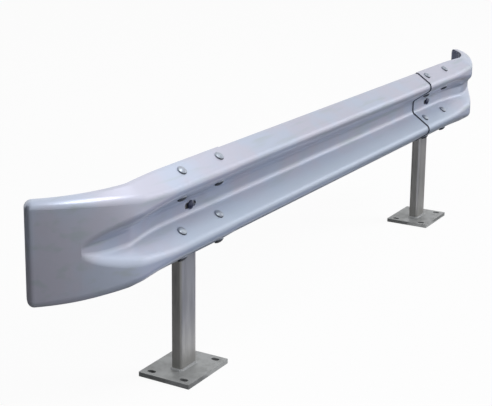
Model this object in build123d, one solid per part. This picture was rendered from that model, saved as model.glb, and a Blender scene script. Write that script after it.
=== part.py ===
from build123d import *
import math
import os

# One bay of W-beam guardrail on two surface-mounted posts, with a swept-back wing at each end.
# Millimetres. X runs along the rail, the traffic side faces -Y, and Z is up from the floor.
# The pieces are drawn about the posts' front faces at Y = 0. place() then moves them so that the
# origin is the middle of the whole section's footprint.

# Bay
POST_SPACING = 2000.0
RAIL_HEIGHT = 570.0          # middle of the rail above the floor

# Rail section, drawn on the face where the wing laps over the beam
SHEET = 3.0
RAIL_DEPTH = 82.0            # crest to valley
SLOPE = 55.0                 # degrees between a slope and the upright
VALLEY_CORNER = 27.0         # where slope and valley floor would meet, above the middle
CREST_MIDDLE = 97.0
CREST_RADIUS = 23.0
VALLEY_RADIUS = 24.0
LIP_HEIGHT = 153.0           # where slope and lip would meet, above the middle
LIP_LENGTH = 13.0
LIP_ANGLE = 10.0             # degrees above level
LIP_RADIUS = 10.0

# Laps
BEAM_OVERHANG = 160.0        # beam past each post's middle
WING_LAP = 155.0             # wing back over the beam, from the post's middle

# Path of the wings' crests, from the post's middle to the end return
WING_STRAIGHT = 344.0
FIRST_BEND_RADIUS = 165.0
FIRST_BEND_SWEEP = 17.5      # degrees
SECOND_BEND_RADIUS = 640.0
SECOND_BEND_SWEEP = 27.5

# Wing flattening: the lips turn into level flanges, and the valley rises into a groove that grows
# shallow and narrow until it ends at a tip. The run-in is measured back from the first bend.
RUN_IN = 180.0
FLANGE_DEPTH = 36.0
FLANGE_HEIGHT = 151.0
FLANGE_BEND_DEPTH = 22.0
FLANGE_CORNER = 149.0
GROOVE_END = 225.0           # past the first bend's start, along the path
VALLEY_TIP_CORNER = 6.0      # above the middle
GROOVE_TIP_WIDTH = 12.0      # from the valley's corner to the crest's, at the tip
SHALLOWING = 1.55            # powers of the share of the groove's length that is past
NARROWING = 6
OPENING = 3
SOFTENING = 2
GROOVE_STATIONS = 21
END_STATIONS = 4
END_RADIUS = 17.0            # of the wing's upright end edge

# How far the wing's bends reach along the lines that meet at each corner, where it is flattened
FLANGE_REACH = 17.0
FLANGE_LIP_REACH = 3.0
CREST_TIP_SHARE = 0.6        # of the groove's slope, at its tip
VALLEY_TIP_SHARE = 0.3
STRAIGHT = 1e-4              # half turn, in radians, below which a corner is left straight

# Posts, plates and welds
POST_WIDTH = 90.0
POST_DEPTH = 40.0
POST_WALL = 4.0
POST_CORNER = 8.0
POST_TOP = 670.0
CAP_THICKNESS = 3.0
PLATE_WIDTH = 240.0
PLATE_DEPTH = 195.0
PLATE_THICKNESS = 15.0
PLATE_CORNER = 3.0
SLOT_LENGTH = 30.0
SLOT_WIDTH = 18.0
SLOT_SPACING_X = 190.0
SLOT_SPACING_Y = 125.0
WELD_LEG = 6.0
WELD_TAPER = 44.0            # degrees

# Bolts
BOLT_DIAMETER = 16.0
BOLT_HOLE = 18.0
BOLT_COLUMN = 108.0          # each side of the post's middle
OUTER_BOLT_DEPTH = 41.0      # bolts on the outer slopes, behind the crest
HEAD_DIAMETER = 33.0
HEAD_HEIGHT = 9.0
HEAD_ROUNDING = 7.2          # radius of the dome's edge
NUT_ACROSS_FLATS = 24.0
NUT_HEIGHT = 13.0
THREAD_PAST_NUT = 5.0
WASHER_DIAMETER = 36.0
WASHER_THICKNESS = 3.0
NUT_BORE = 16.4
POST_HEAD_DIAMETER = 29.0
POST_SLOT_LENGTH = 64.0
POST_SLOT_WIDTH = 20.0
HOLE_REACH = 12.0            # a hole's cutter, each side of the lap face

RISE = 1 / math.tan(math.radians(SLOPE))
GROOVE_CORNER = VALLEY_CORNER + RAIL_DEPTH * RISE
GROOVE_SLOPE = math.hypot(RAIL_DEPTH, RAIL_DEPTH * RISE)
LIP_REACH = LIP_RADIUS * math.tan(math.radians(90 - SLOPE - LIP_ANGLE) / 2)
CREST_REACH = CREST_RADIUS * math.tan(math.radians(SLOPE) / 2)
VALLEY_REACH = VALLEY_RADIUS * math.tan(math.radians(SLOPE) / 2)
FULL_SHAPE = (0, 0)
OUTER_CORNER = 2 * CREST_MIDDLE - GROOVE_CORNER
JOINTS = (-POST_SPACING / 2, POST_SPACING / 2)
POST_MIDDLE_Y = POST_DEPTH / 2
CREST_Y = -SHEET - RAIL_DEPTH
WING_PATH = (FIRST_BEND_RADIUS * math.radians(FIRST_BEND_SWEEP)
             + SECOND_BEND_RADIUS * math.radians(SECOND_BEND_SWEEP))

os.makedirs("parts", exist_ok=True)


def offset_corners(corners, distance):
    """Moves a line of (depth, height) corners sideways, towards the traffic where positive."""
    normals = []
    for (d0, z0), (d1, z1) in zip(corners, corners[1:]):
        run = math.hypot(d1 - d0, z1 - z0)
        normals.append(((z1 - z0) / run, -(d1 - d0) / run))
    moved = []
    for index, (depth, height) in enumerate(corners):
        before = normals[max(index - 1, 0)]
        after = normals[min(index, len(normals) - 1)]
        scale = distance / (1 + before[0] * after[0] + before[1] * after[1])
        moved.append((depth + scale * (before[0] + after[0]), height + scale * (before[1] + after[1])))
    return moved


def mix(start, end, share):
    """The value a share of the way from start to end."""
    return start + (end - start) * share


def half_turns(corners):
    """Half the angle that a line turns through at each inner corner, positive round the front."""
    headings = [math.atan2(z1 - z0, d1 - d0) for (d0, z0), (d1, z1) in zip(corners, corners[1:])]
    return [math.remainder(after - before, math.tau) / 2
            for before, after in zip(headings, headings[1:])]


def rail_corners(flange, taper):
    """Corners of the rail section, from its top edge to its bottom edge, in the lap face as (depth
    behind the crest, height), and how far the bend at each inner corner reaches along its lines.
    flange is 0 where the edges are lips and 1 where they are flanges. taper is 0 where the valley
    is whole and 1 at the groove's tip."""
    lip_depth = (LIP_HEIGHT - OUTER_CORNER) / RISE
    edge_height = LIP_HEIGHT + LIP_LENGTH * math.tan(math.radians(LIP_ANGLE))
    depth = RAIL_DEPTH * (1 - taper ** SHALLOWING)
    valley = mix(VALLEY_CORNER, VALLEY_TIP_CORNER, taper ** NARROWING)
    groove = valley + depth * RISE + GROOVE_TIP_WIDTH * taper ** OPENING
    half = [(mix(lip_depth + LIP_LENGTH, FLANGE_DEPTH, flange), mix(edge_height, FLANGE_HEIGHT, flange)),
            (mix(lip_depth, FLANGE_BEND_DEPTH, flange), mix(LIP_HEIGHT, FLANGE_HEIGHT, flange)),
            (0.0, mix(OUTER_CORNER, FLANGE_CORNER, flange)),
            (0.0, groove),
            (depth, valley)]
    slope = math.hypot(depth, groove - valley)
    softening = taper ** SOFTENING
    reaches = [mix(LIP_REACH, FLANGE_LIP_REACH, flange),
               mix(CREST_REACH, FLANGE_REACH, flange),
               slope * mix(CREST_REACH / GROOVE_SLOPE, CREST_TIP_SHARE, softening),
               slope * mix(VALLEY_REACH / GROOVE_SLOPE, VALLEY_TIP_SHARE, softening)]
    return half + [(depth, -height) for depth, height in reversed(half)], reaches + reaches[::-1]


def rail_line(plane, shape, distance):
    """Edges of the rail section on one plane, moved sideways from the lap face by distance."""
    corners, reaches = rail_corners(*shape)
    turns = half_turns(corners)
    reaches = [reach + distance * math.tan(turn) for reach, turn in zip(reaches, turns)]
    points = [Vector(*plane.from_local_coords((depth, height, 0)))
              for depth, height in offset_corners(corners, distance)]
    edges = []
    start = points[0]
    for before, corner, after, reach, turn in zip(points, points[1:], points[2:], reaches, turns):
        inward = (before - corner).normalized()
        outward = (after - corner).normalized()
        bend_start = corner + inward * reach
        bend_end = corner + outward * reach
        edges.append(Line(start, bend_start))
        if abs(turn) < STRAIGHT:
            edges.append(Line(bend_start, bend_end))
        else:
            middle = corner + (inward + outward).normalized() * reach * math.tan(abs(turn) / 2)
            edges.append(ThreePointArc(bend_start, middle, bend_end))
        start = bend_end
    edges.append(Line(start, points[-1]))
    return edges


def rail_section(plane, shape, near, far):
    """The sheet's section: a closed face between two sideways distances from the lap face."""
    back = rail_line(plane, shape, near)
    front = rail_line(plane, shape, far)
    top = Line(back[0] @ 0, front[0] @ 0)
    bottom = Line(back[-1] @ 1, front[-1] @ 1)
    return Face(Wire([top, *front, bottom, *reversed(back)]))


def along(x, y=CREST_Y, heading=0.0):
    """A plane across the rail: local X points behind it and local Y up. heading is how far, in
    degrees, the rail has turned back from straight, towards the end at -X."""
    turn = math.radians(heading)
    return Plane(origin=(x, y, RAIL_HEIGHT), x_dir=(math.sin(turn), math.cos(turn), 0),
                 z_dir=(math.cos(turn), -math.sin(turn), 0))


def slope_plane(joint_x, column, outer, upper, distance):
    """A plane on a rail slope at a splice bolt, facing the traffic, distance in front of the lap
    face. outer picks the slope outside the crest, and upper the corrugation above the valley."""
    depth = OUTER_BOLT_DEPTH if outer else RAIL_DEPTH / 2
    height = OUTER_CORNER + depth * RISE if outer else GROOVE_CORNER - depth * RISE
    tilt = math.radians(SLOPE)
    up = math.sin(tilt) if outer else -math.sin(tilt)
    if not upper:
        height = -height
        up = -up
    normal = Vector(0, -math.cos(tilt), up)
    middle = Vector(joint_x + column, CREST_Y + depth, RAIL_HEIGHT + height)
    return Plane(origin=middle + normal * distance, x_dir=(1, 0, 0), z_dir=normal)


def splice_planes(joint_x, distance):
    """The slope planes at all eight splice bolts of a joint."""
    return [slope_plane(joint_x, column, outer, upper, distance)
            for column in (-BOLT_COLUMN, BOLT_COLUMN)
            for outer in (True, False)
            for upper in (True, False)]


def cut_joint_holes(sheet, joint_x):
    """Splice holes through the slopes and the post bolt's slot through the valley."""
    for plane in splice_planes(joint_x, -HOLE_REACH):
        sheet -= extrude(plane * Circle(BOLT_HOLE / 2), amount=2 * HOLE_REACH)
    valley = Plane(origin=(joint_x, HOLE_REACH, RAIL_HEIGHT), x_dir=(1, 0, 0), z_dir=(0, -1, 0))
    sheet -= extrude(valley * SlotOverall(POST_SLOT_LENGTH, POST_SLOT_WIDTH), amount=2 * HOLE_REACH)
    return sheet


def make_beam():
    """The straight rail, past both posts."""
    length = POST_SPACING + 2 * BEAM_OVERHANG
    beam = extrude(rail_section(along(-length / 2), FULL_SHAPE, -SHEET, 0), amount=length, dir=(1, 0, 0))
    for joint_x in JOINTS:
        beam = cut_joint_holes(beam, joint_x)
    return beam


def wing_path(distance):
    """Position and heading of the left wing's crests, distance past the start of its bend."""
    sweep = math.radians(FIRST_BEND_SWEEP)
    first = min(max(distance / FIRST_BEND_RADIUS, 0.0), sweep)
    heading = first + max(distance - sweep * FIRST_BEND_RADIUS, 0.0) / SECOND_BEND_RADIUS
    x = JOINTS[0] - WING_STRAIGHT - min(distance, 0.0) - FIRST_BEND_RADIUS * math.sin(first)
    x -= SECOND_BEND_RADIUS * (math.sin(heading) - math.sin(first))
    y = CREST_Y + FIRST_BEND_RADIUS * (1 - math.cos(first))
    y += SECOND_BEND_RADIUS * (math.cos(first) - math.cos(heading))
    return x, y, math.degrees(heading)


def wing_shape(distance):
    """Shape of the wing's section at a distance along its path."""
    share = (distance + RUN_IN) / (WING_PATH + RUN_IN)
    return share * share * (3 - 2 * share), min((distance + RUN_IN) / (GROOVE_END + RUN_IN), 1.0)


def wing_loft(start, end, count):
    """The wing between two distances along its path, through evenly spaced sections."""
    distances = [mix(start, end, station / count) for station in range(count + 1)]
    sections = [rail_section(along(*wing_path(distance)), wing_shape(distance), 0, SHEET)
                for distance in distances]
    return Solid.make_loft([section.outer_wire() for section in sections])


def make_end_return():
    """The wing's closed end: its last section turned back through a right angle about an upright
    line, then carried back as far as the flanges."""
    plane = along(*wing_path(WING_PATH))
    reach = END_RADIUS + 2 * SHEET
    window = plane * Pos(END_RADIUS - reach / 2, 0) * Rectangle(reach, 3 * FLANGE_HEIGHT)
    front = (rail_section(plane, wing_shape(WING_PATH), 0, SHEET) & window).face()
    upright = Axis(plane.from_local_coords((END_RADIUS, 0, 0)), (0, 0, -1))
    edge = revolve(front, upright, 90)
    side = extrude(front.rotate(upright, 90), amount=FLANGE_DEPTH - END_RADIUS, dir=plane.x_dir)
    return edge + side


def make_wing():
    """The left wing: a straight W over the beam's end, then swept back while it flattens."""
    start = JOINTS[0] - WING_STRAIGHT + RUN_IN
    length = JOINTS[0] + WING_LAP - start
    straight = extrude(rail_section(along(start), FULL_SHAPE, 0, SHEET), amount=length, dir=(1, 0, 0))
    groove = wing_loft(-RUN_IN, GROOVE_END, GROOVE_STATIONS)
    flat = wing_loft(GROOVE_END, WING_PATH, END_STATIONS)
    return cut_joint_holes(straight + groove + flat + make_end_return(), JOINTS[0])


def make_post(joint_x):
    """A rectangular tube, wide along the rail, from the plate to under the cap."""
    foot = Plane(origin=(joint_x, POST_MIDDLE_Y, PLATE_THICKNESS))
    outline = RectangleRounded(POST_WIDTH, POST_DEPTH, POST_CORNER)
    hollow = RectangleRounded(POST_WIDTH - 2 * POST_WALL, POST_DEPTH - 2 * POST_WALL,
                              POST_CORNER - POST_WALL)
    post = extrude(foot * (outline - hollow), amount=POST_TOP - CAP_THICKNESS - PLATE_THICKNESS)
    bolt_line = Plane(origin=(joint_x, -POST_WALL, RAIL_HEIGHT), x_dir=(1, 0, 0), z_dir=(0, 1, 0))
    return post - extrude(bolt_line * Circle(BOLT_HOLE / 2), amount=POST_DEPTH + 2 * POST_WALL)


def make_cap(joint_x):
    """The flat lid welded on the post."""
    top = Plane(origin=(joint_x, POST_MIDDLE_Y, POST_TOP - CAP_THICKNESS))
    return extrude(top * RectangleRounded(POST_WIDTH, POST_DEPTH, POST_CORNER), amount=CAP_THICKNESS)


def make_plate(joint_x):
    """The base plate, slotted for its anchors."""
    floor = Plane(origin=(joint_x, POST_MIDDLE_Y, 0))
    plate = extrude(floor * RectangleRounded(PLATE_WIDTH, PLATE_DEPTH, PLATE_CORNER),
                    amount=PLATE_THICKNESS)
    slot = SlotOverall(SLOT_LENGTH, SLOT_WIDTH, rotation=90)
    slots = GridLocations(SLOT_SPACING_X, SLOT_SPACING_Y, 2, 2) * slot
    for one in slots:
        plate -= extrude(floor * one, amount=PLATE_THICKNESS)
    return plate


def make_foot_weld(joint_x):
    """The fillet weld round the foot of the post."""
    foot = Plane(origin=(joint_x, POST_MIDDLE_Y, PLATE_THICKNESS))
    toe = RectangleRounded(POST_WIDTH + 2 * WELD_LEG, POST_DEPTH + 2 * WELD_LEG,
                           POST_CORNER + WELD_LEG)
    bead = extrude(foot * toe, amount=WELD_LEG, taper=WELD_TAPER)
    post = extrude(foot * RectangleRounded(POST_WIDTH, POST_DEPTH, POST_CORNER), amount=WELD_LEG)
    return bead - post


def make_bolt(plane, head_diameter, head_height, shank):
    """A domed bolt whose head sits on the plane, facing the traffic, with its shank behind."""
    head = extrude(plane * Circle(head_diameter / 2), amount=head_height)
    top = max(head.edges().filter_by(GeomType.CIRCLE),
              key=lambda edge: (edge.arc_center - plane.origin).dot(plane.z_dir))
    head = fillet(top, HEAD_ROUNDING)
    return head + extrude(plane * Circle(BOLT_DIAMETER / 2), amount=-shank)


def make_nut(plane):
    """A hexagon nut behind the plane."""
    outline = RegularPolygon(NUT_ACROSS_FLATS / 2, 6, major_radius=False)
    return extrude(plane * (outline - Circle(NUT_BORE / 2)), amount=-NUT_HEIGHT)


def make_joint(side, joint_x):
    """The bolts, nuts and washers of one joint, by node name."""
    front = splice_planes(joint_x, SHEET)
    back = splice_planes(joint_x, -SHEET)
    splice_shank = 2 * SHEET + NUT_HEIGHT + THREAD_PAST_NUT
    bolts = [make_bolt(plane, HEAD_DIAMETER, HEAD_HEIGHT, splice_shank) for plane in front]
    nuts = [make_nut(plane) for plane in back]
    valley = Plane(origin=(joint_x, -2 * SHEET, RAIL_HEIGHT), x_dir=(1, 0, 0), z_dir=(0, -1, 0))
    post_back = Plane(origin=(joint_x, POST_DEPTH, RAIL_HEIGHT), x_dir=(1, 0, 0), z_dir=(0, -1, 0))
    washer_back = post_back.offset(-WASHER_THICKNESS)
    post_shank = 2 * SHEET + POST_DEPTH + WASHER_THICKNESS + NUT_HEIGHT + THREAD_PAST_NUT
    ring = Circle(WASHER_DIAMETER / 2) - Circle(NUT_BORE / 2)
    return {
        side + "_splice_bolts": Compound(children=bolts),
        side + "_splice_nuts": Compound(children=nuts),
        side + "_post_bolt": make_bolt(valley, POST_HEAD_DIAMETER, HEAD_HEIGHT, post_shank),
        side + "_post_washer": extrude(post_back * ring, amount=-WASHER_THICKNESS),
        side + "_post_nut": make_nut(washer_back),
    }


wing = make_wing()
pieces = {
    "main_beam": make_beam(),
    "left_end_wing": wing,
    "right_end_wing": mirror(wing, about=Plane.YZ),
}
for side, joint_x in zip(("left", "right"), JOINTS):
    pieces[side + "_post"] = make_post(joint_x)
    pieces[side + "_post_cap"] = make_cap(joint_x)
    pieces[side + "_base_plate"] = make_plate(joint_x)
    pieces[side + "_foot_weld"] = make_foot_weld(joint_x)
    pieces.update(make_joint(side, joint_x))

extent = Compound(children=[Compound(piece.wrapped) for piece in pieces.values()]).bounding_box()
middle_y = (extent.min.Y + extent.max.Y) / 2
for name, piece in pieces.items():
    export_step(piece.moved(Location((0, -middle_y, 0))), "parts/" + name + ".step")
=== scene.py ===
"""Looks for one bay of W-beam guardrail: hot-dip galvanised sheet, tube, plate and fasteners."""

import math

import bmesh
import bpy
from mathutils import Matrix, Vector


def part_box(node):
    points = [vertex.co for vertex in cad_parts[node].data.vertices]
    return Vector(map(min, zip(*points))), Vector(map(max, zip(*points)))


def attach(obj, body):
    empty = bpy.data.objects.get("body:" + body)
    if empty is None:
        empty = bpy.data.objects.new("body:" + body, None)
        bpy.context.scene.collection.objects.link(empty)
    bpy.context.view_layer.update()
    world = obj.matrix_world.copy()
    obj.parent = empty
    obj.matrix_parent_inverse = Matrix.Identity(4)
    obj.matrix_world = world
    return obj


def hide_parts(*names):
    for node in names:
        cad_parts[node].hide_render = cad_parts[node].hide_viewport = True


bl_info = {
    "name": "Guardrail bay",
    "version": (1, 0, 0),
    "blender": (4, 5, 0),
    "location": "View3D > Sidebar > Guardrail",
    "description": "Finishes, fasteners and welds for one bay of W-beam guardrail",
    "category": "Object",
}

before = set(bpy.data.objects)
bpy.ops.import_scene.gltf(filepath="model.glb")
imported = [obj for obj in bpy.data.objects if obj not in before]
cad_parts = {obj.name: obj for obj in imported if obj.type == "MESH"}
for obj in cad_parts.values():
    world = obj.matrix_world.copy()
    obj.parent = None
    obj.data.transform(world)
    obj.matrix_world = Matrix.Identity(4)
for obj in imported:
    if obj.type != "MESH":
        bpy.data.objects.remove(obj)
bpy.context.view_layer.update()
SIDES = ("left", "right")

BEAM_LOW, BEAM_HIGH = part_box("main_beam")
RAIL_MIDDLE_Z = (BEAM_LOW.z + BEAM_HIGH.z) / 2
CREST_Y = BEAM_LOW.y          # the lap face where it comes nearest the traffic
LAP_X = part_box("right_end_wing")[0].x
WINGS_X = BEAM_HIGH.x + 0.05  # past the laps, where the wings run on alone

# Marks on the rail sheet, in metres
LOW_TINT_TOP = 0.02              # below the rail's middle, where the greener tint starts
LOW_TINT_FULL = 0.07             # below the rail's middle, where it is whole
LOW_TINT_END = WINGS_X + 0.12
LOW_TINT_FADE = WINGS_X - 0.15
LAP_SHADOW_REACH = 0.005            # half the width of the painted shadow line at the right lap

# Edges that turn by more degrees than these are sharp
TURNED_CREASE = 38
NUT_CREASE = 25
BEAD_CREASE = 80

# Turned and hexagonal fasteners, in metres
TURN_SEGMENTS = 40
DOME_STEPS = 8
DOME_EDGE = 0.97              # of the head's radius
RIM_SHOULDER = 0.75           # of the rim's height
NUT_SEGMENTS = 48
NUT_FACE = 0.96               # of half the width across flats
NUT_FACE_DROP = 0.0004        # from a nut's face to where the chamfer meets the middle of a flat
BORE_CHAMFER = 0.0008
WASHER_SEGMENTS = 48
WASHER_ROLL = 0.0006          # how far in the rim's rolled edge starts
WASHER_ROLL_DEPTH = 0.0007
WASHER_EDGE = 0.0002

# Weld bead
CORNER_STEPS = 8
BEAD_STEPS = 8
RIPPLE_STEPS = 5
RIPPLE_BOW = 0.35             # of a ripple, how far its middle runs ahead
RIPPLE_DEPTH = 0.55           # of the bead's swell
SWELL_SHARE = 0.7             # of the swell, along each leg

# Stage, in metres and watts
WHITE = (1, 1, 1, 1)
UNSEEN = ("camera", "transmission", "shadow")
MIRRORED_ONLY = UNSEEN + ("diffuse",)
SOFT_LIGHT = 0.36             # the world, as it lights the object
FLOOR_LIFT = 0.94             # of the floor's white, where rays show the background
PAD_INSET = 0.004
PAD_SHARE = 0.4               # of the gap under the plates
CARD_SHARE = 0.6
UPPER_CARD_SHARE = 0.48
SENSOR_WIDTH = 36.0
CLIP_END = 100

# Floor cards: name, middle, size, height as a share of the gap under the plates, colour
FLOOR_CARDS = (
    ("front_card", (2.6, -0.9), (7.2, 1.4), CARD_SHARE, "front_card"),
    ("far_card", (5.0, 0.3), (3.6, 2.6), UPPER_CARD_SHARE, "far_card"),
    ("wing_card", (-3.2, -2.4), (4.4, 4.8), CARD_SHARE, "wing_card"),
    ("back_card", (0.5, 2.0), (11.0, 4.0), CARD_SHARE, "back_card"),
    ("post_front_card", (1.9, -0.64), (1.8, 1.08), UPPER_CARD_SHARE, "post_card"),
    ("post_back_card", (0.0, 0.8), (1.9, 1.4), UPPER_CARD_SHARE, "post_card"),
)
SIDE_CARD_PLACE = (-2.6, 1.5, 0.9)
SIDE_CARD_FACING = (1, -0.2, 0)
SIDE_CARD_SIZE = (3.0, 1.8)

# Lamps: name, place, target, size, power, whether it shows in the metal
LAMPS = (
    ("overhead", (0.3, -0.8, 4.0), (0, 0, 0.5), (3.6, 1.6), 15, True),
    ("wing_strip", (-1.35, -0.45, 1.5), (-1.55, 0, 0.65), (0.8, 0.25), 4.6, True),
    ("far_key", (7.2, -7.2, 7.2), (0, 0, 0.6), (5.0, 5.0), 760, False),
    ("front_right_softbox", (4.4, -2.3, 2.1), (0, 0, 0.6), (2.0, 2.0), 15, True),
)


def linear(colour):
    """Turns an sRGB hex colour such as "#A0B0C0" to linear RGB with alpha 1."""
    channels = [int(colour[i:i + 2], 16) / 255 for i in (1, 3, 5)]
    return tuple(c / 12.92 if c <= 0.04045 else ((c + 0.055) / 1.055) ** 2.4 for c in channels) + (1.0,)


def size(name, description, default):
    """A length property in metres."""
    return bpy.props.FloatProperty(name=name, description=description, default=default, min=0.0,
                                   unit="LENGTH", precision=5)


def angle(name, description, degrees):
    """An angle property, given in degrees."""
    return bpy.props.FloatProperty(name=name, description=description, subtype="ANGLE",
                                   default=math.radians(degrees))


def colour(name, description, default):
    """A colour property, given as sRGB hex."""
    return bpy.props.FloatVectorProperty(name=name, description=description, subtype="COLOR", size=4,
                                         min=0.0, max=1.0, default=linear(default))


class GuardrailSizes(bpy.types.PropertyGroup):
    """Sizes of the fasteners and welds."""
    sheet: size("Sheet", "Thickness of the rail sheet", 0.003)
    slope: angle("Slope", "Rail slopes from upright", 55)
    bolt_depth: size("Bolt depth", "Splice bolts behind the crests", 0.041)
    outer_height: size("Outer bolt height", "Outer splice bolts from the rail's middle", 0.13831)
    inner_height: size("Inner bolt height", "Inner splice bolts from the rail's middle", 0.05571)
    bolt_column: size("Bolt column", "Splice bolts each side of the post's middle", 0.108)
    head_radius: size("Head radius", "Radius of the splice bolts' heads", 0.0165)
    post_head_radius: size("Post bolt head radius", "Radius of the post bolts' heads", 0.0145)
    head_height: size("Head height", "Height of the domed heads", 0.009)
    head_rim: size("Head rim", "Height of the upright rim under each dome", 0.0040)
    shank_radius: size("Shank radius", "Radius of the bolts over the thread", 0.008)
    thread_pitch: size("Thread pitch", "Pitch of the thread", 0.002)
    thread_depth: size("Thread depth", "Depth of the thread", 0.0011)
    thread_length: size("Thread length", "Threaded length at each bolt's end", 0.022)
    nut_flats: size("Nut across flats", "Width of the nuts across flats", 0.024)
    nut_height: size("Nut height", "Height of the nuts", 0.013)
    thread_past_nut: size("Thread past nut", "Thread that shows past each nut", 0.005)
    washer_radius: size("Washer radius", "Outer radius of the post bolts' washers", 0.018)
    washer_thickness: size("Washer thickness", "Thickness of the post bolts' washers", 0.003)
    bore_radius: size("Bore radius", "Bore of the nuts and washers", 0.0082)
    post_corner: size("Post corner", "Outer corner radius of the posts", 0.008)
    weld_leg: size("Weld leg", "Leg of the fillet weld round each post's foot", 0.006)
    weld_swell: size("Weld swell", "How far the bead swells past a flat fillet", 0.0007)
    weld_ripple: size("Weld ripple", "Spacing of the bead's ripples", 0.0045)


class GuardrailColours(bpy.types.PropertyGroup):
    """Colours of the zinc on each kind of steel."""
    sheet: colour("Sheet", "Rail sheet", "#BAC3D6")
    sheet_lilac: colour("Sheet lilac", "Warmer clouds on the rail sheet", "#BFC0D0")
    sheet_grey: colour("Sheet grey", "Duller runs on the rail sheet", "#B0BAC3")
    sheet_low_wave: colour("Sheet low wave", "Low wave of the rail between the wings, a shade greener", "#B1BED0")
    # Sheared ends, and painted shadow in a band in front of the right lap.
    cut_edge_and_lap_shadow: colour("Cut edge and lap shadow", "Sheared ends of the rail sheet and painted shadow at the right lap", "#474C5C")
    tube: colour("Tube", "Post tube", "#BDBCBA")
    tube_dull: colour("Tube dull", "Duller drain marks on the post tube", "#ACABAA")
    tube_foot_band: colour("Tube foot band", "Darker ragged band round the posts' feet", "#A3A29F")
    plate: colour("Plate", "Base plate", "#A4A6A7")
    plate_dull: colour("Plate dull", "Duller patches on the base plate", "#959797")
    weld: colour("Weld", "Weld bead", "#9A9C9E")
    fastener: colour("Fastener", "Bolts and nuts", "#9AA0AE")
    # Painted shade: the colour that the bolts' and nuts' down-facing faces are darkened to.
    painted_shade: colour("Painted shade", "Painted shade on the bolts' and nuts' down-facing sides", "#3C3F45")
    post_bolt: colour("Post bolt", "Dark post bolts", "#3E4258")
    floor: colour("Floor", "Studio floor", "#F4F4F4")
    # Painted shade: the felt under the plates is dark so that the anchor slots look shaded.
    pad: colour("Pad", "Felt pads under the base plates, dark as painted shade in the anchor slots", "#242424")
    pad_shade_light: colour("Pad light", "Paler fibres in the felt", "#303030")
    floor_bounce: colour("Floor bounce", "Floor as it lights the object from below", "#A8A8A8")
    front_card: colour("Front card", "Card on the floor in front of the rail", "#66739C")
    wing_card: colour("Wing card", "Card on the floor in front of the left wing", "#808084")
    far_card: colour("Far card", "Card on the floor off the right wing", "#242B40")
    back_card: colour("Back card", "Card on the floor behind the rail", "#4A4A4C")
    side_card: colour("Side card", "Card that stands off the left of the posts", "#181818")
    post_card: colour("Post card", "Cards on the floor before and behind the right post", "#1E222C")


class GuardrailStage(bpy.types.PropertyGroup):
    """Camera, lamps, floor and cards."""
    eye: bpy.props.FloatVectorProperty(name="Eye", description="Where the camera stands", size=3,
                                       default=(-3.9654, -1.9583, 1.6120), subtype="XYZ",
                                       unit="LENGTH")
    azimuth: angle("Azimuth", "Camera round the object", -59.68)
    elevation: angle("Elevation", "Camera above the horizon", 12.61)
    roll: angle("Roll", "Camera roll", 0.57)
    lens: bpy.props.FloatProperty(name="Lens", description="Focal length for a 36 mm sensor",
                                  default=84.69, subtype="DISTANCE_CAMERA")
    shift: bpy.props.FloatProperty(name="Shift", description="Vertical lens shift",
                                   default=-0.1524)
    floor_radius: size("Floor radius", "Radius of the studio floor", 12.0)
    floor_drop: size("Floor drop", "Gap between the plates and the floor", 0.0005)


def add_node(tree, kind, values=(), links=(), **settings):
    """Adds a node, sets its settings and input values, and links (input, node, output) to it."""
    new = tree.nodes.new(kind)
    for name, value in settings.items():
        setattr(new, name, value)
    for name, value in values:
        new.inputs[name].default_value = value
    for name, source, output in links:
        tree.links.new(source.outputs[output], new.inputs[name])
    return new


def new_material(name):
    """An empty node material with its output node."""
    material = bpy.data.materials.new(name)
    material.use_nodes = True
    tree = material.node_tree
    tree.nodes.clear()
    return material, tree, add_node(tree, "ShaderNodeOutputMaterial")


def per_metre(millimetres):
    """Texture scale for a pattern of that size."""
    return 1000 / millimetres


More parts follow.
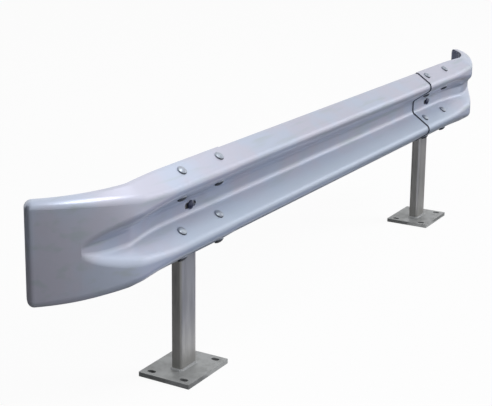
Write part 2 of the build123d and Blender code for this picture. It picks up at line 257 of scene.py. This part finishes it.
def sheet_material(tones):
    """Hot-dip galvanised sheet steel, dipped and drained: a satin bluish zinc, clouded lilac and
    grey where it cooled unevenly, with faint runs along the rail. Between the wings the low wave
    is drawn a shade greener. Its sheared ends hold little zinc and look dark. In front against the
    right lap a 10 mm dark band is painted shadow of the gap between wing and beam. The spangles are
    8 mm in life and are drawn at 14 mm, so that they still show across the whole bay."""
    material, tree, output = new_material("hot_dip_galvanised_sheet")
    place = add_node(tree, "ShaderNodeTexCoord")
    runs_place = add_node(tree, "ShaderNodeMapping", [("Scale", (0.12, 1.0, 1.0))],
                          [("Vector", place, "Object")])
    clouds = add_node(tree, "ShaderNodeTexNoise",
                      [("Scale", per_metre(190)), ("Detail", 3.0), ("Roughness", 0.5)],
                      [("Vector", place, "Object")])
    runs = add_node(tree, "ShaderNodeTexNoise",
                    [("Scale", per_metre(32)), ("Detail", 2.0), ("Roughness", 0.5)],
                    [("Vector", runs_place, "Vector")])
    spangles = add_node(tree, "ShaderNodeTexVoronoi", [("Scale", per_metre(14))],
                        [("Vector", place, "Object")], distance="EUCLIDEAN")
    lilac_share = add_node(tree, "ShaderNodeMapRange", [("From Min", 0.4), ("From Max", 0.62)],
                           [("Value", clouds, "Fac")], interpolation_type="SMOOTHSTEP")
    grey_share = add_node(tree, "ShaderNodeMapRange",
                          [("From Min", 0.5), ("From Max", 0.75), ("To Max", 0.8)],
                          [("Value", runs, "Fac")], interpolation_type="SMOOTHSTEP")
    tint = add_node(tree, "ShaderNodeMix", [("A", tones.sheet), ("B", tones.sheet_lilac)],
                    [(0, lilac_share, "Result")], data_type="RGBA")
    dulled = add_node(tree, "ShaderNodeMix", [("B", tones.sheet_grey)],
                      [(0, grey_share, "Result"), ("A", tint, 2)], data_type="RGBA")
    where = add_node(tree, "ShaderNodeSeparateXYZ", links=[("Vector", place, "Object")])
    reach = add_node(tree, "ShaderNodeMath", links=[(0, where, "X")], operation="ABSOLUTE")
    # The low wave between the wings is drawn a shade greener, from below the rail's middle, fading out
    # past the laps.
    low = add_node(tree, "ShaderNodeMapRange",
                   [("From Min", RAIL_MIDDLE_Z - LOW_TINT_TOP),
                    ("From Max", RAIL_MIDDLE_Z - LOW_TINT_FULL)],
                   [("Value", where, "Z")], interpolation_type="SMOOTHSTEP")
    inboard = add_node(tree, "ShaderNodeMapRange",
                       [("From Min", LOW_TINT_END), ("From Max", LOW_TINT_FADE), ("To Max", 0.85)],
                       [("Value", reach, 0)], interpolation_type="SMOOTHSTEP")
    low_tint = add_node(tree, "ShaderNodeMath", links=[(0, low, "Result"), (1, inboard, "Result")],
                     operation="MULTIPLY")
    low_tinted = add_node(tree, "ShaderNodeMix", [("B", tones.sheet_low_wave)],
                       [(0, low_tint, 0), ("A", dulled, 2)], data_type="RGBA")
    facing = add_node(tree, "ShaderNodeNewGeometry")
    along = add_node(tree, "ShaderNodeSeparateXYZ", links=[("Vector", facing, "Normal")])
    off_axis = add_node(tree, "ShaderNodeMath", links=[(0, along, "X")], operation="ABSOLUTE")
    endwise = add_node(tree, "ShaderNodeMapRange", [("From Min", 0.93), ("From Max", 0.97)],
                       [("Value", off_axis, 0)])
    lapped = add_node(tree, "ShaderNodeMath", [(1, WINGS_X)], [(0, reach, 0)], operation="LESS_THAN")
    cut = add_node(tree, "ShaderNodeMath", links=[(0, endwise, "Result"), (1, lapped, 0)],
                   operation="MULTIPLY")
    # Painted shadow: a 10 mm dark band on front-facing faces just before the right lap's edge, where the
    # gap between wing and beam is shaded.
    gap = add_node(tree, "ShaderNodeMath", [(1, LAP_X - LAP_SHADOW_REACH), (2, LAP_SHADOW_REACH)],
                   [(0, where, "X")], operation="COMPARE")
    ahead = add_node(tree, "ShaderNodeMath", [(1, 0.0)], [(0, along, "Y")], operation="LESS_THAN")
    lap_shadow = add_node(tree, "ShaderNodeMath", links=[(0, gap, 0), (1, ahead, 0)], operation="MULTIPLY")
    dark = add_node(tree, "ShaderNodeMath", links=[(0, cut, 0), (1, lap_shadow, 0)], operation="MAXIMUM")
    edged = add_node(tree, "ShaderNodeMix", [("B", tones.cut_edge_and_lap_shadow)],
                     [(0, dark, 0), ("A", low_tinted, 2)], data_type="RGBA")
    gloss = add_node(tree, "ShaderNodeMapRange", [("To Min", 0.3), ("To Max", 0.42)],
                     [("Value", runs, "Fac")])
    relief = add_node(tree, "ShaderNodeMath", [(1, 0.04)], [(0, spangles, "Distance")],
                      operation="MULTIPLY")
    height = add_node(tree, "ShaderNodeMath", links=[(0, runs, "Fac"), (1, relief, 0)], operation="ADD")
    bump = add_node(tree, "ShaderNodeBump", [("Strength", 1.0), ("Distance", 0.0003)],
                    [("Height", height, 0)])
    shader = add_node(tree, "ShaderNodeBsdfPrincipled", [("Metallic", 0.3)],
                      [("Base Color", edged, 2), ("Roughness", gloss, "Result"),
                       ("Normal", bump, "Normal")])
    tree.links.new(shader.outputs[0], output.inputs["Surface"])
    return material


def tube_material(tones, foot_z):
    """Hot-dip galvanised square tube: duller than the sheet, with upright drain marks, and drawn
    darker in a ragged band just over the foot weld."""
    material, tree, output = new_material("hot_dip_galvanised_tube")
    place = add_node(tree, "ShaderNodeTexCoord")
    drain_place = add_node(tree, "ShaderNodeMapping", [("Scale", (1.0, 1.0, 0.14))],
                           [("Vector", place, "Object")])
    drains = add_node(tree, "ShaderNodeTexNoise",
                      [("Scale", per_metre(22)), ("Detail", 3.0), ("Roughness", 0.55)],
                      [("Vector", drain_place, "Vector")])
    blotches = add_node(tree, "ShaderNodeTexNoise",
                        [("Scale", per_metre(45)), ("Detail", 3.0), ("Roughness", 0.6)],
                        [("Vector", place, "Object")])
    dull_share = add_node(tree, "ShaderNodeMapRange", [("From Min", 0.42), ("From Max", 0.66)],
                          [("Value", drains, "Fac")], interpolation_type="SMOOTHSTEP")
    dulled = add_node(tree, "ShaderNodeMix", [("A", tones.tube), ("B", tones.tube_dull)],
                      [(0, dull_share, "Result")], data_type="RGBA")
    where = add_node(tree, "ShaderNodeSeparateXYZ", links=[("Vector", place, "Object")])
    # Drawn darker in a ragged band just over the foot weld.
    ragged = add_node(tree, "ShaderNodeMath", [(1, -0.06)], [(0, blotches, "Fac")], operation="MULTIPLY")
    edge = add_node(tree, "ShaderNodeMath", links=[(0, where, "Z"), (1, ragged, 0)], operation="ADD")
    foot_band_share = add_node(tree, "ShaderNodeMapRange",
                           [("From Min", foot_z + 0.05), ("From Max", foot_z - 0.02), ("To Max", 0.85)],
                           [("Value", edge, 0)], interpolation_type="SMOOTHSTEP")
    foot_banded = add_node(tree, "ShaderNodeMix", [("B", tones.tube_foot_band)],
                       [(0, foot_band_share, "Result"), ("A", dulled, 2)], data_type="RGBA")
    gloss = add_node(tree, "ShaderNodeMapRange", [("To Min", 0.36), ("To Max", 0.55)],
                     [("Value", blotches, "Fac")])
    bump = add_node(tree, "ShaderNodeBump", [("Strength", 1.0), ("Distance", 0.0002)],
                    [("Height", drains, "Fac")])
    shader = add_node(tree, "ShaderNodeBsdfPrincipled", [("Metallic", 0.6)],
                      [("Base Color", foot_banded, 2), ("Roughness", gloss, "Result"),
                       ("Normal", bump, "Normal")])
    tree.links.new(shader.outputs[0], output.inputs["Surface"])
    return material


def zinc_material(name, tone, dull_tone, patch_mm, roughness, bump_mm, shade_colour=None):
    """Zinc on thick or small steel. It cools slowly there, so it is matter than on the sheet and
    patchy, and the bump keeps its highlights broken up. Where a shade colour is given, faces that
    look down turn to that colour as painted shade."""
    material, tree, output = new_material(name)
    place = add_node(tree, "ShaderNodeTexCoord")
    patches = add_node(tree, "ShaderNodeTexNoise",
                       [("Scale", per_metre(patch_mm)), ("Detail", 4.0), ("Roughness", 0.6)],
                       [("Vector", place, "Object")])
    grains = add_node(tree, "ShaderNodeTexNoise",
                      [("Scale", per_metre(patch_mm / 6)), ("Detail", 2.0), ("Roughness", 0.5)],
                      [("Vector", place, "Object")])
    share = add_node(tree, "ShaderNodeMapRange", [("From Min", 0.4), ("From Max", 0.66)],
                     [("Value", patches, "Fac")], interpolation_type="SMOOTHSTEP")
    shade = add_node(tree, "ShaderNodeMix", [("A", tone), ("B", dull_tone)],
                     [(0, share, "Result")], data_type="RGBA")
    # Painted shade: faces that look down are darkened towards the given shade colour.
    if shade_colour:
        facing = add_node(tree, "ShaderNodeNewGeometry")
        down = add_node(tree, "ShaderNodeSeparateXYZ", links=[("Vector", facing, "Normal")])
        painted_shade = add_node(tree, "ShaderNodeMapRange", [("From Min", 0.6), ("From Max", -0.2)],
                        [("Value", down, "Z")], interpolation_type="SMOOTHSTEP")
        shade = add_node(tree, "ShaderNodeMix", [("B", shade_colour)],
                         [(0, painted_shade, "Result"), ("A", shade, 2)], data_type="RGBA")
    gloss = add_node(tree, "ShaderNodeMapRange",
                     [("To Min", roughness * 0.85), ("To Max", roughness * 1.15)],
                     [("Value", patches, "Fac")])
    bump = add_node(tree, "ShaderNodeBump", [("Strength", 1.0), ("Distance", bump_mm / 1000)],
                    [("Height", grains, "Fac")])
    shader = add_node(tree, "ShaderNodeBsdfPrincipled", [("Metallic", 0.5)],
                      [("Base Color", shade, 2), ("Roughness", gloss, "Result"),
                       ("Normal", bump, "Normal")])
    tree.links.new(shader.outputs[0], output.inputs["Surface"])
    return material


def dress(node, material):
    """Gives a CAD node its finish."""
    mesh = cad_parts[node].data
    mesh.materials.clear()
    mesh.materials.append(material)


def finish_piece(name, shape, material, node, crease=TURNED_CREASE):
    """Turns a bmesh into a piece that stands for a CAD node, with edges over crease degrees sharp."""
    bmesh.ops.recalc_face_normals(shape, faces=shape.faces)
    mesh = bpy.data.meshes.new(name)
    shape.to_mesh(mesh)
    shape.free()
    mesh.shade_smooth()
    mesh.set_sharp_from_angle(angle=math.radians(crease))
    mesh.materials.append(material)
    piece = bpy.data.objects.new(name, mesh)
    bpy.context.scene.collection.objects.link(piece)
    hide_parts(node)
    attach(piece, "root")


def add_ring(shape, place, points):
    """A ring of vertices from (x, y, z) points in a place's own axes."""
    return [shape.verts.new(place @ Vector(point)) for point in points]


def join_rings(shape, rings):
    """Skins a list of rings, any of which may be a single point."""
    for low, high in zip(rings, rings[1:]):
        count = max(len(low), len(high))
        for i in range(count):
            j = (i + 1) % count
            corners = [low[i % len(low)], low[j % len(low)], high[j % len(high)], high[i % len(high)]]
            shape.faces.new(list(dict.fromkeys(corners)))


def add_turned(shape, place, profile, segments=TURN_SEGMENTS):
    """A turned shape from (radius, height) points along its profile."""
    rings = []
    for radius, height in profile:
        steps = segments if radius > 0 else 1
        turns = [math.tau * step / steps for step in range(steps)]
        rings.append(add_ring(shape, place, [(radius * math.cos(t), radius * math.sin(t), height)
                                             for t in turns]))
    join_rings(shape, rings)


def dome_profile(sizes, radius):
    """Profile of a button head from the middle of its dome to its seat: a dome over a low rim."""
    rise = sizes.head_height - sizes.head_rim
    edge = radius * DOME_EDGE
    ball = (edge * edge + rise * rise) / (2 * rise)
    sweep = math.asin(edge / ball)
    turns = [sweep * step / DOME_STEPS for step in range(DOME_STEPS + 1)]
    dome = [(ball * math.sin(turn), sizes.head_height - ball * (1 - math.cos(turn))) for turn in turns]
    return dome + [(radius, sizes.head_rim * RIM_SHOULDER), (radius, 0.0)]


def thread_profile(sizes, end):
    """Profile of a shank down to its end, with the thread's ridges and a chamfered tip."""
    start = end + sizes.thread_length
    ridges = int((sizes.thread_length - sizes.thread_pitch) / sizes.thread_pitch)
    profile = [(sizes.shank_radius, start)]
    for ridge in range(ridges):
        top = start - ridge * sizes.thread_pitch
        profile += [(sizes.shank_radius - sizes.thread_depth, top - sizes.thread_pitch / 2),
                    (sizes.shank_radius, top - sizes.thread_pitch)]
    return profile + [(sizes.shank_radius - sizes.thread_depth, end), (0.0, end)]


def add_bolt(shape, place, sizes, radius, length):
    """A domed bolt with its seat at the place and its shank behind."""
    shank = [(sizes.shank_radius, 0.0)] + thread_profile(sizes, -length)
    add_turned(shape, place, dome_profile(sizes, radius) + shank)


def add_nut(shape, place, sizes):
    """A hexagon nut behind the place, its corners chamfered at 30 degrees on both faces."""
    flat = sizes.nut_flats / 2
    near = [[], [], [], []]
    for step in range(NUT_SEGMENTS):
        turn = math.tau * step / NUT_SEGMENTS
        radius = flat / math.cos((turn + math.pi / 6) % (math.pi / 3) - math.pi / 6)
        cut = NUT_FACE_DROP + (radius - flat) * math.tan(math.pi / 6)
        levels = ((radius, cut), (flat * NUT_FACE, 0.0), (sizes.bore_radius + BORE_CHAMFER, 0.0),
                  (sizes.bore_radius, BORE_CHAMFER))
        for ring, (reach, depth) in zip(near, levels):
            ring.append((reach * math.cos(turn), reach * math.sin(turn), depth))
    front = [add_ring(shape, place, [(x, y, -z) for x, y, z in ring]) for ring in near]
    back = [add_ring(shape, place, [(x, y, z - sizes.nut_height) for x, y, z in ring])
            for ring in near]
    join_rings(shape, front + back[::-1] + [front[0]])


def place_facing(origin, normal):
    """A placement at origin whose Z faces along normal and whose X runs along the rail."""
    across = normal.cross(Vector((1, 0, 0)))
    turn = Matrix((Vector((1, 0, 0)), across, normal)).transposed().to_4x4()
    return Matrix.Translation(origin) @ turn


def splice_places(sizes, joint_x, distance):
    """Placements of a joint's eight splice bolts, distance in front of the lap face."""
    rows = ((sizes.outer_height, 1), (sizes.inner_height, -1),
            (-sizes.inner_height, 1), (-sizes.outer_height, -1))
    places = []
    for column in (-sizes.bolt_column, sizes.bolt_column):
        for height, up in rows:
            normal = Vector((0, -math.cos(sizes.slope), up * math.sin(sizes.slope)))
            middle = Vector((joint_x + column, CREST_Y + sizes.bolt_depth, RAIL_MIDDLE_Z + height))
            places.append(place_facing(middle + normal * distance, normal))
    return places


def joint_x(side):
    """The middle of a side's post along the rail."""
    low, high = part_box(side + "_post")
    return (low.x + high.x) / 2


class GUARDRAIL_OT_rails(bpy.types.Operator):
    """Finishes the beam and the end wings"""
    bl_idname = "guardrail.rails"
    bl_label = "Rails"

    def execute(self, context):
        sheet = sheet_material(context.scene.guardrail_colours)
        for node in ("main_beam", "left_end_wing", "right_end_wing"):
            dress(node, sheet)
        return {"FINISHED"}


class GUARDRAIL_OT_posts(bpy.types.Operator):
    """Finishes the posts, their caps and the base plates"""
    bl_idname = "guardrail.posts"
    bl_label = "Posts and plates"

    def execute(self, context):
        tones = context.scene.guardrail_colours
        tube = tube_material(tones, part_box("left_base_plate")[1].z)
        plate = zinc_material("hot_dip_galvanised_plate", tones.plate, tones.plate_dull, 42, 0.5, 0.15)
        for side in SIDES:
            dress(side + "_post", tube)
            dress(side + "_post_cap", tube)
            dress(side + "_base_plate", plate)
        return {"FINISHED"}


class GUARDRAIL_OT_foot_welds(bpy.types.Operator):
    """Adds the rippled weld bead round the foot of each post"""
    bl_idname = "guardrail.foot_welds"
    bl_label = "Foot welds"

    def execute(self, context):
        sizes = context.scene.guardrail_sizes
        tones = context.scene.guardrail_colours
        # Zinc over an arc-welded bead: a little rougher than the plate, broken by its ripples.
        bead = zinc_material("galvanised_weld_bead", tones.weld, tones.plate_dull, 12, 0.45, 0.1)
        for side in SIDES:
            shape = bmesh.new()
            low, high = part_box(side + "_post")
            add_bead(shape, low, high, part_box(side + "_base_plate")[1].z, sizes)
            finish_piece(side + "_foot_weld_bead", shape, bead, side + "_foot_weld",
                         BEAD_CREASE)
        return {"FINISHED"}


def add_bead(shape, low, high, plate_z, sizes):
    """A fillet bead round a post, from its wall down to the plate, with crescent ripples."""
    corner, leg = sizes.post_corner, sizes.weld_leg
    line = []
    centres = ((high.x - corner, high.y - corner, 0), (low.x + corner, high.y - corner, 90),
               (low.x + corner, low.y + corner, 180), (high.x - corner, low.y + corner, 270))
    for x, y, start in centres:
        for step in range(CORNER_STEPS + 1):
            turn = math.radians(start + 90 * step / CORNER_STEPS)
            normal = Vector((math.cos(turn), math.sin(turn), 0))
            line.append((Vector((x, y, 0)) + normal * corner, normal))
    stations = []
    travelled = 0.0
    for (point, normal), (next_point, next_normal) in zip(line, line[1:] + line[:1]):
        run = (next_point - point).length
        pieces = max(round(run / (sizes.weld_ripple / RIPPLE_STEPS)), 1)
        for piece in range(pieces):
            share = piece / pieces
            stations.append((point.lerp(next_point, share), normal.lerp(next_normal, share).normalized(),
                             travelled + run * share))
        travelled += run
    rings = []
    ripples = round(travelled / sizes.weld_ripple)
    for point, normal, distance in stations:
        ring = []
        for step in range(BEAD_STEPS + 1):
            share = step / BEAD_STEPS
            bow = 1 - (2 * share - 1) ** 2
            phase = math.tau * (distance / travelled * ripples + RIPPLE_BOW * bow)
            swell = SWELL_SHARE * sizes.weld_swell * bow * (1 + RIPPLE_DEPTH * math.cos(phase))
            out, up = leg * share + swell, leg * (1 - share) + swell
            ring.append(point + normal * out + Vector((0, 0, plate_z + up)))
        rings.append([shape.verts.new(vertex) for vertex in ring])
    for ring, next_ring in zip(rings, rings[1:] + rings[:1]):
        for i in range(len(ring) - 1):
            shape.faces.new((ring[i], ring[i + 1], next_ring[i + 1], next_ring[i]))


class GUARDRAIL_OT_splices(bpy.types.Operator):
    """Adds the splice bolts and nuts that join the wings to the beam"""
    bl_idname = "guardrail.splices"
    bl_label = "Splice bolts and nuts"

    def execute(self, context):
        sizes = context.scene.guardrail_sizes
        tones = context.scene.guardrail_colours
        # Fasteners spun after dipping, which leaves the zinc thin, even and satin.
        # The last colour is painted shade on the fasteners' down-facing faces.
        zinc = zinc_material("spun_galvanised_fasteners", tones.fastener, tones.sheet_grey, 9, 0.38,
                             0.03, tones.painted_shade)
        shank = 2 * sizes.sheet + sizes.nut_height + sizes.thread_past_nut
        for side in SIDES:
            bolts, nuts = bmesh.new(), bmesh.new()
            for place in splice_places(sizes, joint_x(side), sizes.sheet):
                add_bolt(bolts, place, sizes, sizes.head_radius, shank)
            for place in splice_places(sizes, joint_x(side), -sizes.sheet):
                add_nut(nuts, place, sizes)
            finish_piece(side + "_splice_bolt_set", bolts, zinc, side + "_splice_bolts")
            finish_piece(side + "_splice_nut_set", nuts, zinc, side + "_splice_nuts",
                         NUT_CREASE)
        return {"FINISHED"}


class GUARDRAIL_OT_post_bolts(bpy.types.Operator):
    """Adds the bolt, washer and nut that hold the rail to each post"""
    bl_idname = "guardrail.post_bolts"
    bl_label = "Post bolts"

    def execute(self, context):
        sizes = context.scene.guardrail_sizes
        tones = context.scene.guardrail_colours
        # The post bolts are drawn smooth and blue-black, so only their rim catches light.
        dark = zinc_material("dark_blue_post_bolt", tones.post_bolt, tones.post_bolt, 9, 0.3, 0.02)
        zinc = bpy.data.materials["spun_galvanised_fasteners"]
        for side in SIDES:
            low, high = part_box(side + "_post_bolt")
            washer_low, washer_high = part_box(side + "_post_washer")
            seat = Vector((joint_x(side), low.y + sizes.head_height, RAIL_MIDDLE_Z))
            bolt, washer, nut = bmesh.new(), bmesh.new(), bmesh.new()
            add_bolt(bolt, place_facing(seat, Vector((0, -1, 0))), sizes, sizes.post_head_radius,
                     high.y - seat.y)
            back = place_facing(Vector((seat.x, washer_low.y, RAIL_MIDDLE_Z)), Vector((0, -1, 0)))
            add_washer(washer, back, sizes)
            back = place_facing(Vector((seat.x, washer_high.y, RAIL_MIDDLE_Z)), Vector((0, -1, 0)))
            add_nut(nut, back, sizes)
            finish_piece(side + "_post_bolt_domed", bolt, dark, side + "_post_bolt")
            finish_piece(side + "_post_washer_flat", washer, zinc, side + "_post_washer")
            finish_piece(side + "_post_nut_hex", nut, zinc, side + "_post_nut", NUT_CREASE)
        return {"FINISHED"}


def add_washer(shape, place, sizes):
    """A stamped flat washer behind the place, rolled over a little at its front edge."""
    rim, bore, depth = sizes.washer_radius, sizes.bore_radius, sizes.washer_thickness
    profile = [(bore, 0.0), (rim - WASHER_ROLL, 0.0), (rim - WASHER_EDGE, -WASHER_EDGE),
               (rim, -WASHER_ROLL_DEPTH), (rim, WASHER_EDGE - depth), (rim - WASHER_EDGE, -depth),
               (bore, -depth), (bore, 0.0)]
    add_turned(shape, place, profile, WASHER_SEGMENTS)


def add_lamp(name, place, target, dimensions, power, mirrored):
    """A soft rectangular lamp that faces target, and that shows in the metal if mirrored."""
    lamp = bpy.data.lights.new(name, "AREA")
    lamp.shape = "RECTANGLE"
    lamp.size, lamp.size_y = dimensions
    lamp.energy = power
    holder = bpy.data.objects.new(name, lamp)
    bpy.context.scene.collection.objects.link(holder)
    holder.visible_camera = False
    holder.visible_glossy = mirrored
    holder.location = place
    holder.rotation_euler = (Vector(target) - Vector(place)).to_track_quat("-Z", "Y").to_euler()


def seen_white(tree):
    """1 for rays that show the background: from the camera, by gloss or through glass."""
    path = add_node(tree, "ShaderNodeLightPath")
    gloss = add_node(tree, "ShaderNodeMath",
                     links=[(0, path, "Is Camera Ray"), (1, path, "Is Glossy Ray")],
                     operation="MAXIMUM")
    return add_node(tree, "ShaderNodeMath", links=[(0, gloss, 0), (1, path, "Is Transmission Ray")],
                    operation="MAXIMUM")


def shade_felt_material(tones):
    """Pressed felt: dense, matt and a mottled dark grey, painted shade under the plates that shows only
    down the anchor slots.
    """
    material, tree, output = new_material("pressed_felt_shade")
    place = add_node(tree, "ShaderNodeTexCoord")
    fibres = add_node(tree, "ShaderNodeTexNoise", [("Scale", per_metre(2)), ("Detail", 4.0)],
                      [("Vector", place, "Object")])
    shade = add_node(tree, "ShaderNodeMix", [("A", tones.pad), ("B", tones.pad_shade_light)],
                     [(0, fibres, "Fac")], data_type="RGBA")
    bump = add_node(tree, "ShaderNodeBump", [("Strength", 1.0), ("Distance", 0.0003)],
                    [("Height", fibres, "Fac")])
    cloth = add_node(tree, "ShaderNodeBsdfDiffuse", [("Roughness", 1.0)],
                     [("Color", shade, 2), ("Normal", bump, "Normal")])
    tree.links.new(cloth.outputs[0], output.inputs["Surface"])
    return material


def add_stage_mesh(name, shape, material, height):
    """A flat part of the stage at a height."""
    mesh = bpy.data.meshes.new(name)
    shape.to_mesh(mesh)
    shape.free()
    mesh.materials.append(material)
    flat = bpy.data.objects.new(name, mesh)
    flat.location.z = height
    bpy.context.scene.collection.objects.link(flat)
    return flat


def add_rectangle(shape, low, high):
    """A flat rectangle between two (x, y) corners."""
    corners = ((low[0], low[1]), (high[0], low[1]), (high[0], high[1]), (low[0], high[1]))
    shape.faces.new([shape.verts.new((x, y, 0)) for x, y in corners])


def add_card(name, place, facing, dimensions, tone, rays):
    """An even card that faces a direction and is hidden from the given rays, as a studio card
    darkens one side of a bright metal without showing in the picture."""
    material, tree, output = new_material(name + "_paper")
    glow = add_node(tree, "ShaderNodeEmission", [("Color", tone), ("Strength", 1.0)])
    tree.links.new(glow.outputs[0], output.inputs["Surface"])
    shape = bmesh.new()
    width, height = dimensions
    add_rectangle(shape, (-width / 2, -height / 2), (width / 2, height / 2))
    card = add_stage_mesh(name, shape, material, 0.0)
    turn = Vector(facing).to_track_quat("Z", "Y").to_matrix().to_4x4()
    card.matrix_world = Matrix.Translation(place) @ turn
    for kind in rays:
        setattr(card, "visible_" + kind, False)


def add_world(scene):
    """An even white studio, at full white for rays that show it and dimmer as a light."""
    world = bpy.data.worlds.new("studio")
    scene.world = world
    world.use_nodes = True
    tree = world.node_tree
    tree.nodes.clear()
    soft = add_node(tree, "ShaderNodeBackground", [("Color", WHITE), ("Strength", SOFT_LIGHT)])
    white = add_node(tree, "ShaderNodeBackground", [("Color", WHITE), ("Strength", 1.0)])
    mix = add_node(tree, "ShaderNodeMixShader",
                   links=[(0, seen_white(tree), 0), (1, soft, 0), (2, white, 0)])
    add_node(tree, "ShaderNodeOutputWorld", links=[("Surface", mix, 0)])


def floor_material(tones):
    """Matt white paint, lifted to the background's white for rays that see it, so that only the
    object's soft shadow shows on it. It lights the object from below as a mid grey floor would."""
    material, tree, output = new_material("matt_floor_paint")
    seen = seen_white(tree)
    tone = add_node(tree, "ShaderNodeMix", [("A", tones.floor_bounce), ("B", tones.floor)],
                    [(0, seen, 0)], data_type="RGBA")
    paint = add_node(tree, "ShaderNodeBsdfDiffuse", links=[("Color", tone, 2)])
    lift = add_node(tree, "ShaderNodeEmission", [("Color", WHITE), ("Strength", 1.0)])
    share = add_node(tree, "ShaderNodeMath", [(1, FLOOR_LIFT)], [(0, seen, 0)], operation="MULTIPLY")
    mixed = add_node(tree, "ShaderNodeMixShader", links=[(0, share, 0), (1, paint, 0), (2, lift, 0)])
    tree.links.new(mixed.outputs[0], output.inputs["Surface"])
    return material


def add_shade_pads(stage, tones):
    """Dark felt under both base plates, just inside their edges, as painted shade down the anchor slots.
    """
    shape = bmesh.new()
    for side in SIDES:
        low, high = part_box(side + "_base_plate")
        add_rectangle(shape, (low.x + PAD_INSET, low.y + PAD_INSET),
                      (high.x - PAD_INSET, high.y - PAD_INSET))
    add_stage_mesh("plate_shade_pads", shape, shade_felt_material(tones), -stage.floor_drop * PAD_SHARE)


def add_camera(scene, stage):
    """The camera, from the stage's own settings."""
    lens = bpy.data.cameras.new("camera")
    lens.lens, lens.sensor_width, lens.shift_y = stage.lens, SENSOR_WIDTH, stage.shift
    lens.clip_end = CLIP_END
    camera = bpy.data.objects.new("camera", lens)
    scene.collection.objects.link(camera)
    turn = (Matrix.Rotation(stage.azimuth, 4, "Z")
            @ Matrix.Rotation(math.pi / 2 - stage.elevation, 4, "X")
            @ Matrix.Rotation(stage.roll, 4, "Z"))
    camera.matrix_world = Matrix.Translation(stage.eye) @ turn
    scene.camera = camera


class GUARDRAIL_OT_stage(bpy.types.Operator):
    """Adds the floor, cards, lamps, world and camera"""
    bl_idname = "guardrail.stage"
    bl_label = "Stage"

    def execute(self, context):
        stage = context.scene.guardrail_stage
        tones = context.scene.guardrail_colours
        context.scene.view_settings.view_transform = "Standard"
        add_world(context.scene)
        shape = bmesh.new()
        bmesh.ops.create_circle(shape, cap_ends=True, segments=128, radius=stage.floor_radius)
        add_stage_mesh("studio_floor", shape, floor_material(tones), -stage.floor_drop)
        add_shade_pads(stage, tones)
        for name, (x, y), dimensions, share, tone in FLOOR_CARDS:
            add_card(name, (x, y, -stage.floor_drop * share), (0, 0, 1), dimensions,
                     getattr(tones, tone), MIRRORED_ONLY)
        add_card("side_card", SIDE_CARD_PLACE, SIDE_CARD_FACING, SIDE_CARD_SIZE, tones.side_card,
                 UNSEEN)
        for lamp in LAMPS:
            add_lamp(*lamp)
        add_camera(context.scene, stage)
        return {"FINISHED"}


class GUARDRAIL_PT_panel(bpy.types.Panel):
    """Sidebar panel with one button for each group of pieces"""
    bl_idname = "GUARDRAIL_PT_panel"
    bl_label = "Guardrail"
    bl_space_type = "VIEW_3D"
    bl_region_type = "UI"
    bl_category = "Guardrail"

    def draw(self, context):
        for operator in OPERATORS:
            self.layout.operator(operator.bl_idname)


GROUPS = {"guardrail_sizes": GuardrailSizes, "guardrail_colours": GuardrailColours,
          "guardrail_stage": GuardrailStage}
OPERATORS = (GUARDRAIL_OT_rails, GUARDRAIL_OT_posts, GUARDRAIL_OT_foot_welds, GUARDRAIL_OT_splices,
             GUARDRAIL_OT_post_bolts, GUARDRAIL_OT_stage)


def register():
    for group in GROUPS.values():
        bpy.utils.register_class(group)
    for name, group in GROUPS.items():
        setattr(bpy.types.Scene, name, bpy.props.PointerProperty(type=group))
    for cls in OPERATORS + (GUARDRAIL_PT_panel,):
        bpy.utils.register_class(cls)


def unregister():
    for cls in (GUARDRAIL_PT_panel,) + OPERATORS[::-1]:
        bpy.utils.unregister_class(cls)
    for name in GROUPS:
        delattr(bpy.types.Scene, name)
    for group in GROUPS.values():
        bpy.utils.unregister_class(group)


def main():
    register()
    bpy.ops.guardrail.rails()
    bpy.ops.guardrail.posts()
    bpy.ops.guardrail.foot_welds()
    bpy.ops.guardrail.splices()
    bpy.ops.guardrail.post_bolts()
    bpy.ops.guardrail.stage()


if __name__ == "__main__":
    main()
